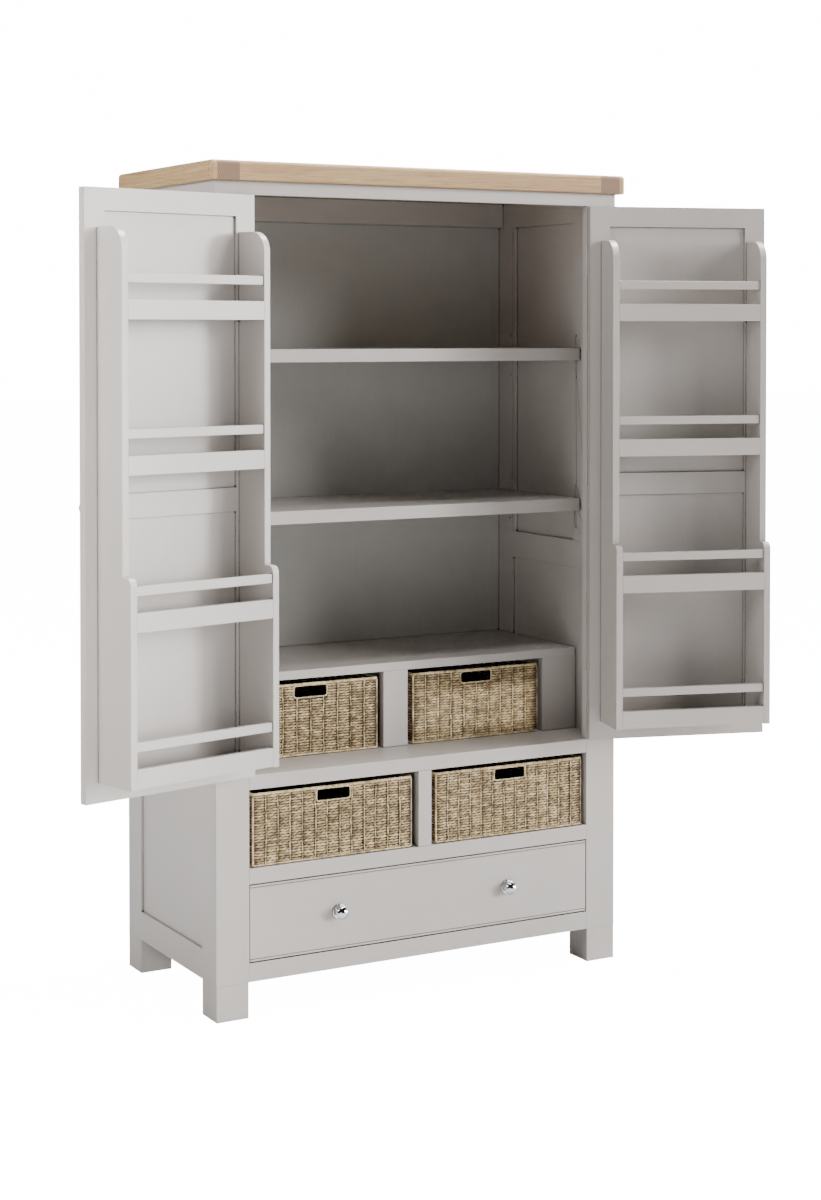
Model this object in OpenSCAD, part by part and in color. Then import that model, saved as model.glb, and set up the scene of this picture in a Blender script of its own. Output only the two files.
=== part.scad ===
// Double-door larder cabinet: painted frame-and-panel carcass with an oak top, two hinged doors
// that carry spice racks, two adjustable shelves, four woven baskets and one long drawer.
// Millimetres, +Z up, +Y towards the back. The doors stand open at rest.

/* [Cabinet] */
// Overall height, floor to the face of the oak top
height = 1900; // [1850:10:1950]
// Width of the painted body, without the oak top's overhang
body_w = 1056; // [1036:4:1076]
// Depth of the painted body, front face to back
body_d = 512; // [506:2:530]
// Thickness of the side frames and of the face frame
frame_t = 20; // [18:1:22]
// Thickness of the loose panels in the sides and doors
panel_t = 8; // [6:1:10]
// Thickness of the floors and decks inside
board_t = 18; // [15:1:20]
// Thickness of the back panel
back_t = 10; // [6:1:12]

/* [Oak top] */
// Thickness of the oak top
top_t = 44; // [38:1:50]
// Overhang of the oak top past each side
top_over_side = 20; // [10:1:30]
// Overhang of the oak top past the front
top_over_front = 17; // [10:1:30]
// Overhang of the oak top past the back
top_over_back = 13; // [5:1:20]
// Width of the cross-grain board at each end of the top
top_end_w = 72; // [60:1:84]
// Radius of the top's upright corners
top_corner_r = 11; // [10:1:16]
// Radius of the round along the top's upper edges
top_edge_r = 9; // [5:1:10]
// Radius of the round along the top's lower edges
top_arris_r = 3; // [2:0.5:4]

/* [Legs and face frame] */
// Height of the legs below the body
leg_h = 80; // [70:1:90]
// Width of a leg across the front
leg_w = 78; // [70:1:80]
// Depth of a leg, also the visible width of the side stiles
leg_d = 77; // [70:1:82]
// Width of the two outer stiles of the face frame
stile_w = 80; // [78:1:84]
// Height of the bottom rail under the drawer
rail_bottom_h = 42.5; // [40:0.5:45]
// Height of the drawer opening
drawer_open_h = 175.5; // [170:0.5:180]
// Height of the rail between drawer and baskets
rail_drawer_h = 35; // [30:1:38]
// Height of the two basket openings
basket_open_h = 175.5; // [170:0.5:180]
// Width of the upright between the lower baskets
divider_w = 34; // [30:1:38]
// Height of the rail under the doors
rail_deck_h = 32.5; // [30:0.5:35]
// Height of the rail over the doors
rail_top_h = 30; // [28:1:36]

/* [Side frames] */
// Height of the side frames' bottom rails
side_rail_bottom_h = 67; // [60:1:75]
// Underside of the side frames' middle rails
side_rail_mid_z = 940; // [900:5:960]
// Height of the side frames' middle rails
side_rail_mid_h = 67; // [60:1:75]
// Height of the side frames' top rails
side_rail_top_h = 63; // [55:1:70]
// Depth of the panel grooves in every frame
groove_d = 6; // [4:1:8]

/* [Shelves] */
// Height of the upper shelf's underside
shelf_upper_z = 1454; // [1440:1:1470]
// Height of the lower shelf's underside
shelf_lower_z = 1083; // [1070:1:1100]
// Thickness of a shelf
shelf_t = 30; // [26:1:32]
// Distance from the face of the cabinet to a shelf's front edge
shelf_front_y = 117; // [114:1:125]
// Gap between a shelf and the side, at each end
shelf_gap = 3; // [2:0.5:5]
// Spacing of the shelf pin holes
pin_pitch = 51; // [45:1:60]

/* [Inner basket unit] */
// Distance from the face of the cabinet to the unit's front
unit_front_y = 141.5; // [141:0.5:150]
// Height of the unit above the deck
unit_h = 200.5; // [195:0.5:210]
// Thickness of the unit's top and front stiles
unit_t = 20; // [18:1:22]
// Width of each outer stile of the unit
unit_stile_w = 95; // [85:1:100]
// Width of the unit's middle stile
unit_divider_w = 65; // [55:1:75]

/* [Doors] */
// Angle at which the left door stands open
left_open = 167; // [150:1:174]
// Angle at which the right door stands open
right_open = 164; // [150:1:174]
// Gap round each door
door_gap = 2; // [1.5:0.1:2.5]
// Width of the door stiles
door_stile_w = 50; // [45:1:55]
// Height of the door's top and bottom rails
door_rail_h = 48; // [44:1:55]
// Underside of the door's middle rail
door_mid_z = 1132; // [1110:1:1150]
// Height of the door's middle rail
door_mid_h = 52; // [46:1:60]
// Height of the centre of the door knobs
knob_z = 1158; // [1140:1:1170]
// Distance from the hinge edge of the opening to a door knob
knob_u = 421; // [415:1:425]

/* [Door racks] */
// Depth of the upper rack, from the door's outer face
rack_upper_v = 110; // [100:1:112]
// Depth of the lower rack, from the door's outer face
rack_lower_v = 139; // [125:1:139]
// Thickness of the rack's side boards
rack_side_t = 15.5; // [12:0.5:18]
// Distance from the hinge edge of the opening to the rack
rack_u0 = 30; // [28:1:34]
// Outer width of the rack
rack_w = 386; // [376:1:388]
// Underside of the rack
rack_z0 = 586; // [575:1:600]
// Upper end of the rack
rack_z1 = 1741; // [1720:1:1750]
// Height at which the rack steps from deep to shallow
rack_step_z = 1021; // [1010:1:1030]
// Distance from one rack shelf to the next
rack_pitch = 320.5; // [315:0.5:322]
// Height of the board along the front of a rack shelf
fascia_h = 40.5; // [36:0.5:44]
// Height of the retaining bar over it
bar_h = 19.5; // [16:0.5:22]
// Clear gap between the two
bar_gap = 35; // [30:1:38]

/* [Drawer and baskets] */
// How deep the drawer box is
drawer_box_d = 450; // [400:10:460]
// Distance of the drawer knobs from the middle
drawer_knob_x = 224; // [200:1:240]
// Wall of the woven baskets
weave_t = 8; // [6:1:10]
// Width of a lower basket
lower_basket_w = 412; // [400:1:416]
// Depth of a lower basket
lower_basket_d = 470; // [430:10:480]
// Height of a lower basket
lower_basket_h = 166; // [160:1:168]
// Width of an upper basket
upper_basket_w = 358; // [350:1:362]
// Depth of an upper basket
upper_basket_d = 340; // [320:5:350]
// Height of an upper basket
upper_basket_h = 170; // [165:1:172]
// Width of the finger slot in a basket
slot_w = 84; // [70:1:95]
// Height of the finger slot
slot_h = 26; // [22:1:30]
// Width of the woven rim over the finger slot
slot_rim = 8; // [6:1:10]

/* [Hidden] */

$fn = 64;
LEFT = -1;
RIGHT = 1;
PAINT = [0.84, 0.83, 0.81];
SHADE = [0.74, 0.73, 0.71];
OAK = [0.79, 0.69, 0.55];
OAK_END = [0.66, 0.53, 0.39];
CHROME = [0.80, 0.81, 0.83];
SEAGRASS = [0.72, 0.63, 0.46];
STEEL = [0.62, 0.63, 0.65];
OVER = 1;

// Half widths: whole body, inner faces of the sides, door and drawer opening
half_w = body_w / 2;
half_in = half_w - frame_t;
half_open = half_w - stile_w;
top_half_w = half_w + top_over_side;

// Levels of the face frame, from the legs up
z_drawer = leg_h + rail_bottom_h;
z_drawer_top = z_drawer + drawer_open_h;
z_basket = z_drawer_top + rail_drawer_h;
z_basket_top = z_basket + basket_open_h;
z_deck = z_basket_top + rail_deck_h;
z_top = height - top_t;
z_door_top = z_top - rail_top_h;
side_rail_mid_top = side_rail_mid_z + side_rail_mid_h;
side_panel_top = z_top - side_rail_top_h;
back_rail_lift = 2;
y_back = body_d - back_t;

// Panels sit in the middle of their frames
panel_set = (frame_t - panel_t) / 2;

// Shelf pins: one group of three holes round each shelf, the pin in the middle one
pin_r = 2.5;
pin_hole_r = 2.55;
pin_out = 9;
pin_deep = panel_set;
pin_above = 9;
pin_front_y = 139;
pin_back_y = 445;
strip_back_y = 421;
strip_front_end_y = 152;

// Hinge pins stand a little in front of the face, in the middle of the gap
hinge_u = door_gap / 2;
hinge_v = -1;
hinge_h = 64;
knuckles = 5;
knuckle_r = 3;
knuckle_gap = 0.3;
hinge_pin_r = 1.5;
hinge_bore_r = 1.55;
hinge_clear_r = 3.4;
leaf_t = 1.5;
leaf_w = 17;
leaf_start = 1.6;
hinge_inset = 130;
pin_head_r = 2.6;
pin_head_t = 1.2;

// Door leaf, measured along it from the opening's hinge edge (u) and back from its face (v)
door_z0 = z_deck + door_gap;
door_z1 = z_door_top - door_gap;
door_u0 = door_gap;
door_meet_gap = 3;
door_u1 = half_open - door_meet_gap / 2;
door_mid_top = door_mid_z + door_mid_h;
// Low and high edges of the two panel openings in a door
door_panel_z = [[door_z0 + door_rail_h, door_mid_z], [door_mid_top, door_z1 - door_rail_h]];

// Heights of the hinges, and where the catch lies
hinge_z = [door_z0 + hinge_inset, (door_z0 + door_z1) / 2, door_z1 - hinge_inset];
magnet_r = 5;
magnet_h = 6;
strike_t = 2;
magnet_inset = 30;
magnet_u = half_open - magnet_inset;

// Rack boards
rack_u1 = rack_u0 + rack_w;
rack_round_r = 45;
rack_step_r = 16;
rack_shelf_t = 15;
fascia_t = 15;
bar_t = 12;
bar_set = 2.5;
rack_shelf_lift = 2;
rack_levels = [for (i = [0:3]) rack_z0 + rack_shelf_lift + i * rack_pitch];
rack_deep_levels = 2;

// Drawer box and its runners
drawer_gap = 2;
drawer_side_gap = 4;
drawer_side_t = 14;
drawer_side_x = half_open - drawer_side_gap;
drawer_side_h = 145;
drawer_rise = 16;
drawer_bottom_t = 6;
drawer_bottom_rise = 12;
runner_ledge = 20;
runner_lip = 32;
slide_clear = 0.4;
bead_h = 5;
bead_groove = 1.6;
bead_set = 1;
drawer_front_z0 = z_drawer + drawer_gap;
drawer_front_z1 = z_drawer_top - drawer_gap;
drawer_z0 = z_drawer + drawer_rise;
drawer_z1 = drawer_z0 + drawer_side_h;
drawer_y1 = frame_t + drawer_box_d;
drawer_bottom_z = drawer_z0 + drawer_bottom_rise;

// Knobs
knob_foot_r = 17;
knob_foot_t = 3;
knob_neck_r = 6.5;
knob_waist = 9;
knob_head_r = 15.2;
knob_head_h = 17;
knob_dome_r = 17;
knob_under_r = 22;
knob_fn = 96;

// Baskets, the boards round them and the loose shelves
basket_clear = 0.4;
basket_corner_r = 10;
lower_basket_shift = 2;
lower_basket_x = half_open / 2 + divider_w / 4 + lower_basket_shift;
lower_basket_y = 5.5;
upper_basket_shift = 1;
upper_basket_set = 1.5;
upper_basket_x = (half_in - unit_stile_w + unit_divider_w / 2) / 2 + upper_basket_shift;
upper_basket_y = unit_front_y + upper_basket_set;
guide_h = 30;
partition_t = 18;
spigot_h = 20;
shelf_back_gap = 5;
shelf_groove_lead = 7.5;
unit_top_z = z_deck + unit_h;
unit_open_z = unit_top_z - unit_t;

// How far each open door reaches out sideways and forwards, to centre the part on its base
function door_reach_x(a) = half_open - hinge_u - (door_u1 - hinge_u) * cos(a) + hinge_v * sin(a);
function rack_reach_y(a) = hinge_v - (rack_u1 - hinge_u) * sin(a) + (rack_lower_v - hinge_v) * cos(a);
centre_x = (door_reach_x(right_open) - door_reach_x(left_open)) / 2;
front_y = min(rack_reach_y(left_open), rack_reach_y(right_open));
centre_y = (front_y + body_d + top_over_back) / 2;

// ---------- Shared helpers ----------

// Moves the cabinet so that the part is centred over its base
module place() {
  translate([-centre_x, -centre_y, 0]) children();
}

// A box from its low and high corners
module block(low, high) {
  translate(low) cube(high - low);
}

// Draws what is given for the right-hand side on either side
module on_side(side) {
  if (side == RIGHT) children();
  else mirror([1, 0, 0]) children();
}

// The same on both sides
module both() {
  on_side(LEFT) children();
  on_side(RIGHT) children();
}

// Opening coordinates: x = u from the hinge edge of the door opening, y = v behind its face
module at_opening(side) {
  place() on_side(-side) translate([-half_open, 0, 0]) children();
}

// The same, swung with the open door about its hinge pins
module on_door(side) {
  angle = side == LEFT ? left_open : right_open;
  at_opening(side) translate([hinge_u, hinge_v, 0]) rotate([0, 0, -angle])
    translate([-hinge_u, -hinge_v, 0]) children();
}

// A rectangle with round corners, in plan
module round_rect(w, d, r) {
  square([w, d - 2 * r], center = true);
  square([w - 2 * r, d], center = true);
  for (x = [-1, 1], y = [-1, 1]) translate([x * (w / 2 - r), y * (d / 2 - r)]) circle(r);
}

// What a quarter round takes off the corner at [x, z]; out and up are 1 or -1, for the way it points
module outer_round(x, z, r, out = 1, up = 1) {
  difference() {
    translate([out > 0 ? x - r : x - OVER, up > 0 ? z - r : z - OVER]) square(r + OVER);
    translate([x - out * r, z - up * r]) circle(r);
  }
}

// A turned knob standing on y = 0 and pointing towards -Y: foot, waist and domed head
module knob() {
  rotate([90, 0, 0]) rotate_extrude($fn = knob_fn) {
    square([knob_foot_r, knob_foot_t]);
    translate([0, knob_foot_t - OVER]) square([knob_neck_r, knob_waist + 2 * OVER]);
    translate([0, knob_foot_t + knob_waist]) intersection() {
      translate([0, knob_head_h - knob_dome_r]) circle(knob_dome_r);
      translate([0, knob_under_r]) circle(knob_under_r);
      square([knob_head_r, knob_head_h]);
    }
  }
}

// ---------- Oak top ----------

// Section across the top between two rounded edges, from x0 to x1
module top_section(x0, x1) {
  difference() {
    translate([x0, 0]) square([x1 - x0, top_t]);
    outer_round(x1, top_t, top_edge_r);
    outer_round(x1, 0, top_arris_r, 1, -1);
    outer_round(x0, top_t, top_edge_r, -1);
    outer_round(x0, 0, top_arris_r, -1, -1);
  }
}

// The whole top: an extruded middle, a strip along each side, and a quarter turn at each corner
module top_slab() {
  r = top_corner_r;
  y0 = -top_over_front;
  y1 = body_d + top_over_back;
  translate([-top_half_w + r, 0, 0]) rotate([90, 0, 90])
    linear_extrude(2 * (top_half_w - r)) top_section(y0, y1);
  for (side = [LEFT, RIGHT]) on_side(side) translate([top_half_w - r, 0, 0]) {
    translate([0, y1 - r, 0]) rotate([90, 0, 0]) linear_extrude(y1 - y0 - 2 * r) top_edge_section();
    translate([0, y1 - r, 0]) rotate_extrude(angle = 90) top_edge_section();
    translate([0, y0 + r, 0]) rotate([0, 0, -90]) rotate_extrude(angle = 90) top_edge_section();
  }
}

// The outer part of the section, from its edge in to the middle of the corner's round
module top_edge_section() {
  intersection() {
    top_section(-top_corner_r, top_corner_r);
    square([top_corner_r, top_t]);
  }
}

module top_piece(x0, x1, tone) {
  color(tone) place() translate([0, 0, z_top]) intersection() {
    top_slab();
    block([x0, -body_d, -OVER], [x1, 2 * body_d, top_t + OVER]);
  }
}

module top_board() {
  top_piece(-top_half_w + top_end_w, top_half_w - top_end_w, OAK);
}

module top_end_left() {
  top_piece(-top_half_w, -top_half_w + top_end_w, OAK_END);
}

module top_end_right() {
  top_piece(top_half_w - top_end_w, top_half_w, OAK_END);
}

// ---------- Legs ----------

// A square leg, with a spigot that rises inside the corner to the bottom board
module leg(side, y0) {
  y1 = y0 + leg_d;
  spigot_y0 = y0 == 0 ? frame_t : y0;
  spigot_y1 = y0 == 0 ? y1 : y_back;
  color(PAINT) place() on_side(side) {
    block([half_w - leg_w, y0, 0], [half_w, y1, leg_h]);
    block([half_w - leg_w, spigot_y0, leg_h - OVER], [half_in, spigot_y1, leg_h + spigot_h]);
  }
}

module leg_front_left() { leg(LEFT, 0); }
module leg_front_right() { leg(RIGHT, 0); }
module leg_back_left() { leg(LEFT, body_d - leg_d); }
module leg_back_right() { leg(RIGHT, body_d - leg_d); }

// ---------- Frame-and-panel sides ----------

// The two loose panels of a side, with their tongues in the grooves
module side_panel_pair() {
  y0 = leg_d - groove_d;
  y1 = body_d - leg_d + groove_d;
  x0 = half_in + panel_set;
  x1 = x0 + panel_t;
  block([x0, y0, leg_h + side_rail_bottom_h - groove_d], [x1, y1, side_rail_mid_z + groove_d]);
  block([x0, y0, side_rail_mid_top - groove_d], [x1, y1, side_panel_top + groove_d]);
}

// Stiles and rails of one side, glued, with the panel grooves and the back pin holes
module side_frame(side) {
  color(PAINT) place() on_side(side) difference() {
    block([half_in, frame_t, leg_h], [half_w, body_d, z_top]);
    for (z = [[leg_h + side_rail_bottom_h, side_rail_mid_z], [side_rail_mid_top, side_panel_top]])
      block([half_in - OVER, leg_d, z[0]], [half_w + OVER, body_d - leg_d, z[1]]);
    side_panel_pair();
    shelf_pin_holes(pin_back_y);
  }
}

// Three holes round each shelf, bored into the inner face of a side
module shelf_pin_holes(y) {
  for (z = [shelf_upper_z, shelf_lower_z], i = [-1:1])
    translate([half_in - OVER, y, z + pin_above + i * pin_pitch])
      rotate([0, 90, 0]) cylinder(h = pin_deep + OVER, r = pin_hole_r);
}

module side_frame_left() { side_frame(LEFT); }
module side_frame_right() { side_frame(RIGHT); }
module side_panels_left() { color(PAINT) place() on_side(LEFT) side_panel_pair(); }
module side_panels_right() { color(PAINT) place() on_side(RIGHT) side_panel_pair(); }

// Upright strips in the upper recesses, flush with the stiles; the front ones carry shelf pins
module shelf_pin_strips() {
  x1 = half_in + panel_set;
  color(PAINT) place() both() {
    difference() {
      block([half_in, leg_d, side_rail_mid_top], [x1, strip_front_end_y, side_panel_top]);
      shelf_pin_holes(pin_front_y);
    }
    block([half_in, strip_back_y, side_rail_mid_top], [x1, body_d - leg_d, side_panel_top]);
  }
}

// ---------- Face frame ----------

// An outer stile, notched for the hinge leaves and knuckles
module face_stile(side) {
  color(PAINT) at_opening(side) difference() {
    block([-stile_w, 0, leg_h], [0, frame_t, z_top]);
    for (z = hinge_z) translate([0, 0, z]) {
      block([-leaf_t, hinge_v, -hinge_h / 2], [OVER, hinge_v + leaf_w, hinge_h / 2]);
      hinge_clearance();
    }
  }
}

module face_stile_left() { face_stile(LEFT); }
module face_stile_right() { face_stile(RIGHT); }

// A rail between the outer stiles
module face_rail(z0, z1) {
  block([-half_open, 0, z0], [half_open, frame_t, z1]);
}

module face_rail_top() {
  color(PAINT) difference() {
    place() face_rail(z_door_top, z_top);
    for (side = [LEFT, RIGHT]) at_opening(side) magnet();
  }
}

module face_rail_deck() { color(PAINT) place() face_rail(z_basket_top, z_deck); }
module face_rail_drawer() { color(PAINT) place() face_rail(z_drawer_top, z_basket); }
module face_rail_bottom() { color(PAINT) place() face_rail(leg_h, z_drawer); }

// The upright between the lower baskets, and the partition behind it
module basket_divider() {
  color(PAINT) place() {
    block([-divider_w / 2, 0, z_basket], [divider_w / 2, frame_t, z_basket_top]);
    block([-partition_t / 2, frame_t, z_basket], [partition_t / 2, y_back, z_deck - board_t]);
  }
}

// ---------- Boards inside ----------

// A full-width board between the sides, from the face frame to the back
module floor_board(z0, z1) {
  color(SHADE) place() block([-half_in, frame_t, z0], [half_in, y_back, z1]);
}

module deck_board() { floor_board(z_deck - board_t, z_deck); }
module basket_floor() { floor_board(z_basket - board_t, z_basket); }
module bottom_board() { floor_board(leg_h + spigot_h, leg_h + spigot_h + board_t); }

// Rails behind the stiles that keep the lower baskets in line with their openings
module basket_guides() {
  color(SHADE) place() both()
    block([half_open, frame_t, z_basket], [half_in, y_back, z_basket + guide_h]);
}

// Wooden runners under the drawer's sides, with a guide beside them
module drawer_runners() {
  z0 = leg_h + spigot_h + board_t;
  ledge_z = z_drawer + drawer_rise - slide_clear;
  color(OAK) place() both() {
    block([half_open - runner_ledge, frame_t + drawer_gap, z0], [half_in, y_back, ledge_z]);
    block([half_open - drawer_gap, frame_t + drawer_gap, z0], [half_in, y_back, ledge_z + runner_lip]);
  }
}

// ---------- Back ----------

module back_panel() {
  color(SHADE) place() block([-half_in, y_back, leg_h], [half_in, body_d, z_top]);
}

module back_top_rail() {
  color(SHADE) place()
    block([-half_in, y_back - frame_t, side_panel_top + back_rail_lift], [half_in, y_back, z_top]);
}

// ---------- Inner basket unit ----------

module unit_top() {
  color(PAINT) place() block([-half_in, unit_front_y, unit_open_z], [half_in, y_back, unit_top_z]);
}

// Outer stiles, each with a side board behind it
module unit_sides() {
  x0 = half_in - unit_stile_w;
  y1 = unit_front_y + unit_t;
  color(PAINT) place() both() {
    block([x0, unit_front_y, z_deck], [half_in, y1, unit_open_z]);
    block([x0, y1 - OVER, z_deck], [x0 + partition_t, y_back, unit_open_z]);
  }
}

// Middle stile, with the partition behind it
module unit_divider() {
  y1 = unit_front_y + unit_t;
  color(PAINT) place() {
    block([-unit_divider_w / 2, unit_front_y, z_deck], [unit_divider_w / 2, y1, unit_open_z]);
    block([-partition_t / 2, y1 - OVER, z_deck], [partition_t / 2, y_back, unit_open_z]);
  }
}

// ---------- Adjustable shelves ----------

// A shelf whose ends are grooved from the back, to slide over its pins
module shelf(z) {
  x1 = half_in - shelf_gap;
  pin_z = z + pin_above;
  color(PAINT) place() difference() {
    block([-x1, shelf_front_y, z], [x1, y_back - shelf_back_gap, z + shelf_t]);
    both() block([half_in - pin_out - OVER, pin_front_y - shelf_groove_lead, pin_z - pin_r - slide_clear],
                 [x1 + OVER, body_d, pin_z + pin_r]);
  }
}

module shelf_upper() { shelf(shelf_upper_z); }
module shelf_lower() { shelf(shelf_lower_z); }

// Four pins for each shelf, in the middle holes
module shelf_pins() {
  color(STEEL) place() both()
    for (z = [shelf_upper_z, shelf_lower_z], y = [pin_front_y, pin_back_y])
      translate([half_in - pin_out, y, z + pin_above])
        rotate([0, 90, 0]) cylinder(h = pin_out + pin_deep, r = pin_r);
}

// ---------- Hinges and catches ----------

// Room for the knuckles and pin heads, about the hinge axis
module hinge_clearance() {
  translate([hinge_u, hinge_v, -hinge_h / 2 - 2 * OVER])
    cylinder(h = hinge_h + 4 * OVER, r = hinge_clear_r);
}

// Knuckles on one leaf: first = 0 for the frame's leaf, 1 for the door's
module hinge_knuckles(first, r, gap) {
  pitch = hinge_h / knuckles;
  for (i = [first:2:knuckles - 1])
    translate([hinge_u, hinge_v, -hinge_h / 2 + i * pitch + gap / 2])
      cylinder(h = pitch - gap, r = r);
}

// One leaf with its knuckles, bored for the pin; u0 is the leaf's low edge
module hinge_leaf(first, u0) {
  difference() {
    union() {
      difference() {
        block([u0, hinge_v + leaf_start, -hinge_h / 2], [u0 + leaf_t, hinge_v + leaf_w, hinge_h / 2]);
        hinge_knuckles(1 - first, hinge_clear_r, -knuckle_gap);
      }
      hinge_knuckles(first, knuckle_r, knuckle_gap);
    }
    translate([hinge_u, hinge_v, -hinge_h]) cylinder(h = 2 * hinge_h, r = hinge_bore_r);
  }
}

module frame_hinge_leaves() {
  color(PAINT) for (side = [LEFT, RIGHT], z = hinge_z)
    at_opening(side) translate([0, 0, z]) hinge_leaf(0, -leaf_t);
}

module door_hinge_leaves(side) {
  color(PAINT) on_door(side) for (z = hinge_z) translate([0, 0, z]) hinge_leaf(1, door_u0);
}

module door_hinge_leaves_left() { door_hinge_leaves(LEFT); }
module door_hinge_leaves_right() { door_hinge_leaves(RIGHT); }

// Pins with a small head at each end, three to a door
module hinge_pins() {
  color(STEEL) for (side = [LEFT, RIGHT], z = hinge_z)
    at_opening(side) translate([hinge_u, hinge_v, z]) {
      cylinder(h = hinge_h, r = hinge_pin_r, center = true);
      for (end = [-1, 1]) translate([0, 0, end * (hinge_h + pin_head_t) / 2])
        cylinder(h = pin_head_t, r = pin_head_r, center = true);
    }
}

// A round magnet set flush in the underside of the top rail, near the meeting edge of a door
module magnet() {
  translate([magnet_u, frame_t / 2, z_door_top]) cylinder(h = magnet_h, r = magnet_r);
}

module door_magnets() {
  color(STEEL) for (side = [LEFT, RIGHT]) at_opening(side) magnet();
}

// The steel disc in the door's top edge that the magnet holds
module strike() {
  translate([magnet_u, frame_t / 2, door_z1 - strike_t]) cylinder(h = strike_t, r = magnet_r);
}

module strike_disc_left() { color(STEEL) on_door(LEFT) strike(); }
module strike_disc_right() { color(STEEL) on_door(RIGHT) strike(); }

// ---------- Doors ----------

module door_panel_pair() {
  u0 = door_u0 + door_stile_w - groove_d;
  u1 = door_u1 - door_stile_w + groove_d;
  for (z = door_panel_z)
    block([u0, panel_set, z[0] - groove_d], [u1, panel_set + panel_t, z[1] + groove_d]);
}

// Stiles and rails of a door, glued, with grooves for the panels and notches for the hinges
module door_frame(side) {
  color(PAINT) on_door(side) difference() {
    block([door_u0, 0, door_z0], [door_u1, frame_t, door_z1]);
    for (z = door_panel_z)
      block([door_u0 + door_stile_w, -OVER, z[0]], [door_u1 - door_stile_w, frame_t + OVER, z[1]]);
    door_panel_pair();
    for (z = hinge_z) translate([0, 0, z]) {
      block([door_u0 - OVER, hinge_v, -hinge_h / 2], [door_u0 + leaf_t, hinge_v + leaf_w, hinge_h / 2]);
      hinge_clearance();
    }
    strike();
  }
}

module door_frame_left() { door_frame(LEFT); }
module door_frame_right() { door_frame(RIGHT); }
module door_panels_left() { color(PAINT) on_door(LEFT) door_panel_pair(); }
module door_panels_right() { color(PAINT) on_door(RIGHT) door_panel_pair(); }

module door_knob(side) {
  color(CHROME) on_door(side) translate([knob_u, 0, knob_z]) knob();
}

module door_knob_left() { door_knob(LEFT); }
module door_knob_right() { door_knob(RIGHT); }

// ---------- Door racks ----------

// Outline of a rack's side board: shallow above, deep below, with round shoulders
module rack_side_outline() {
  difference() {
    union() {
      translate([frame_t, rack_z0]) square([rack_upper_v - frame_t, rack_z1 - rack_z0]);
      translate([frame_t, rack_z0]) square([rack_lower_v - frame_t, rack_step_z - rack_z0]);
    }
    outer_round(rack_upper_v, rack_z1, rack_round_r);
    outer_round(rack_lower_v, rack_step_z, rack_step_r);
  }
}

module rack_sides(side) {
  color(PAINT) on_door(side) for (u = [rack_u0, rack_u1 - rack_side_t])
    translate([u, 0, 0]) rotate([90, 0, 90]) linear_extrude(rack_side_t) rack_side_outline();
}

// Depth of the rack at a level, counted from the bottom
function rack_v(i) = i < rack_deep_levels ? rack_lower_v : rack_upper_v;

module rack_shelves(side) {
  color(PAINT) on_door(side) for (i = [0:3])
    block([rack_u0 + rack_side_t, frame_t, rack_levels[i]],
          [rack_u1 - rack_side_t, rack_v(i) - fascia_t, rack_levels[i] + rack_shelf_t]);
}

// The fascia along each rack shelf, and the retaining bar over it
module rack_rails(side) {
  u0 = rack_u0 + rack_side_t;
  u1 = rack_u1 - rack_side_t;
  color(PAINT) on_door(side) for (i = [0:3]) {
    v1 = rack_v(i);
    z0 = rack_levels[i];
    bar_z = z0 + fascia_h + bar_gap;
    block([u0, v1 - fascia_t, z0], [u1, v1, z0 + fascia_h]);
    block([u0, v1 - bar_set - bar_t, bar_z], [u1, v1 - bar_set, bar_z + bar_h]);
  }
}

module rack_sides_left() { rack_sides(LEFT); }
module rack_sides_right() { rack_sides(RIGHT); }
module rack_shelves_left() { rack_shelves(LEFT); }
module rack_shelves_right() { rack_shelves(RIGHT); }
module rack_rails_left() { rack_rails(LEFT); }
module rack_rails_right() { rack_rails(RIGHT); }

// ---------- Drawer ----------

// End view of the drawer's front: a bead along the top and bottom edges, and a flat field between
module drawer_front_outline() {
  r = bead_h / 2;
  h = drawer_front_z1 - drawer_front_z0;
  translate([bead_set, 0]) square([frame_t - bead_set, h]);
  for (z = [r, h - r]) translate([r, z]) circle(r);
}

module drawer_front() {
  h = drawer_front_z1 - drawer_front_z0;
  x1 = half_open - drawer_gap;
  color(PAINT) place() translate([-x1, 0, drawer_front_z0]) rotate([90, 0, 90])
    linear_extrude(2 * x1) difference() {
      drawer_front_outline();
      for (z = [bead_h, h - bead_h - bead_groove])
        translate([-OVER, z]) square([OVER + bead_set + bead_groove, bead_groove]);
      for (z = [-OVER, h - bead_h / 2]) bead_corner(z);
    }
}

// Clears the square corner outside a bead's round
module bead_corner(z) {
  r = bead_h / 2;
  difference() {
    translate([-OVER, z]) square([OVER + r, r + OVER]);
    translate([r, z < 0 ? r : z]) circle(r);
  }
}

module drawer_bottom_board() {
  x1 = drawer_side_x - drawer_side_t + groove_d;
  block([-x1, frame_t, drawer_bottom_z], [x1, drawer_y1, drawer_bottom_z + drawer_bottom_t]);
}

module drawer_sides() {
  color(OAK) place() difference() {
    both() block([drawer_side_x - drawer_side_t, frame_t, drawer_z0],
                 [drawer_side_x, drawer_y1, drawer_z1]);
    drawer_bottom_board();
  }
}

module drawer_bottom() { color(OAK) place() drawer_bottom_board(); }

module drawer_back() {
  x1 = drawer_side_x - drawer_side_t;
  z0 = drawer_bottom_z + drawer_bottom_t;
  color(OAK) place() block([-x1, drawer_y1 - drawer_side_t, z0], [x1, drawer_y1, drawer_z1]);
}

module drawer_knobs() {
  z = (drawer_front_z0 + drawer_front_z1) / 2;
  color(CHROME) place() both() translate([drawer_knob_x, bead_set, z]) knob();
}

// ---------- Baskets ----------

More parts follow.
